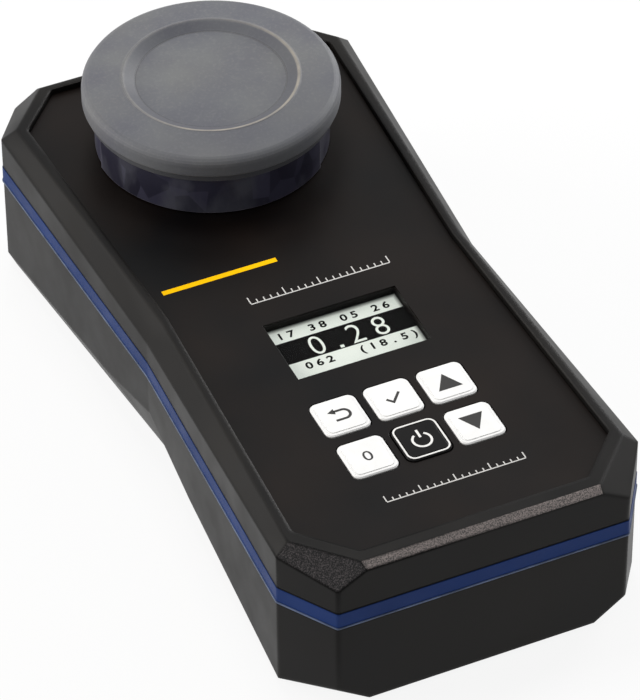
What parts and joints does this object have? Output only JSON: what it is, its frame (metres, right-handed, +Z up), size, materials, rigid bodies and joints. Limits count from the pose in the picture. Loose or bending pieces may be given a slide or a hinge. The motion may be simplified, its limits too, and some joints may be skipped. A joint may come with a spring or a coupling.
{
  "type": "photometer",
  "caption": "Handheld water photometer with faceted waisted housing, recessed display and keypad, lift-off light cap over a sample cuvette, and a battery door underneath.",
  "frame": {"origin": "centre of the footprint at the height of the feet", "axes": "+X to the right of the keypad, +Y toward the sample cap, +Z up"},
  "size_m": [0.0838, 0.1676, 0.055],
  "materials": {
    "housing_black": "satin",
    "band_blue": "satin",
    "bead_pale": "satin",
    "panel_black": "satin",
    "window_clear": "gloss",
    "lcd_pale": "satin",
    "light_guide": "satin",
    "frame_black": "matte",
    "flex_amber": "satin",
    "key_white": "satin",
    "key_black": "satin",
    "silicone_grey": "matte",
    "board_green": "satin",
    "chip_black": "matte",
    "shield_can": "satin",
    "screw_steel": "satin",
    "chamber_black": "matte",
    "seal_rubber": "matte",
    "emitter_clear": "gloss",
    "cuvette_glass": "gloss",
    "lid_white": "satin",
    "cap_grey": "satin",
    "skirt_smoke": "satin",
    "liner_foam": "matte",
    "cell_sleeve": "satin",
    "contact_nickel": "satin",
    "door_black": "satin",
    "foot_rubber": "matte"
  },
  "bodies": {
    "housing": {"band_bead": "bead_pale", "battery_1": "cell_sleeve", "battery_2": "cell_sleeve", "battery_3": "cell_sleeve", "battery_tray": "chamber_black", "board_connector": "chip_black", "board_screws": "screw_steel", "buzzer": "chip_black", "chamber_collar": "chamber_black", "collar_seal": "seal_rubber", "contacts_back": "contact_nickel", "contacts_front": "contact_nickel", "controller_chip": "chip_black", "cuvette_seal": "seal_rubber", "display_window": "window_clear", "feet": "foot_rubber", "housing_screws": "screw_steel", "keypad_mat": "silicone_grey", "lcd_backlight": "light_guide", "lcd_flex": "flex_amber", "lcd_frame": "frame_black", "lcd_glass": "lcd_pale", "led_board": "board_green", "led_high": "emitter_clear", "led_low": "emitter_clear", "lower_shell": "housing_black", "main_board": "board_green", "optical_block": "chamber_black", "panel_overlay": "panel_black", "radio_module": "shield_can", "sealing_band": "band_blue", "sensor_board": "board_green", "sensor_high": "emitter_clear", "sensor_low": "emitter_clear", "upper_shell": "housing_black"},
    "cuvette": {"cuvette": "cuvette_glass"},
    "cuvette_lid": {"cuvette_lid": "lid_white"},
    "light_cap": {"cap_disc": "cap_grey", "cap_skirt": "skirt_smoke", "cap_liner": "liner_foam"},
    "battery_door": {"battery_door": "door_black", "door_gasket": "seal_rubber", "door_screws": "screw_steel"},
    "key_back": {"key_back": "key_white"},
    "key_enter": {"key_enter": "key_white"},
    "key_up": {"key_up": "key_white"},
    "key_zero": {"key_zero": "key_white"},
    "key_power": {"key_power": "key_black"},
    "key_down": {"key_down": "key_white"}
  },
  "joints": [
    {"name": "cuvette_lift", "type": "slide", "parent": "housing", "child": "cuvette", "axis": [0, 0, 1], "range_m": [0, 0.055]},
    {"name": "lid_lift", "type": "slide", "parent": "cuvette", "child": "cuvette_lid", "axis": [0, 0, 1], "range_m": [0, 0.016]},
    {"name": "cap_lift", "type": "slide", "parent": "cuvette_lid", "child": "light_cap", "axis": [0, 0, 1], "range_m": [0, 0.04]},
    {"name": "door_drop", "type": "slide", "parent": "housing", "child": "battery_door", "axis": [0, 0, -1], "range_m": [0, 0.012]},
    {"name": "key_back_press", "type": "slide", "parent": "housing", "child": "key_back", "axis": [0, 0, -1], "range_m": [0, 0.0005], "stiffness_N_per_m": 400},
    {"name": "key_enter_press", "type": "slide", "parent": "housing", "child": "key_enter", "axis": [0, 0, -1], "range_m": [0, 0.0005], "stiffness_N_per_m": 400},
    {"name": "key_up_press", "type": "slide", "parent": "housing", "child": "key_up", "axis": [0, 0, -1], "range_m": [0, 0.0005], "stiffness_N_per_m": 400},
    {"name": "key_zero_press", "type": "slide", "parent": "housing", "child": "key_zero", "axis": [0, 0, -1], "range_m": [0, 0.0005], "stiffness_N_per_m": 400},
    {"name": "key_power_press", "type": "slide", "parent": "housing", "child": "key_power", "axis": [0, 0, -1], "range_m": [0, 0.0005], "stiffness_N_per_m": 400},
    {"name": "key_down_press", "type": "slide", "parent": "housing", "child": "key_down", "axis": [0, 0, -1], "range_m": [0, 0.0005], "stiffness_N_per_m": 400}
  ]
}
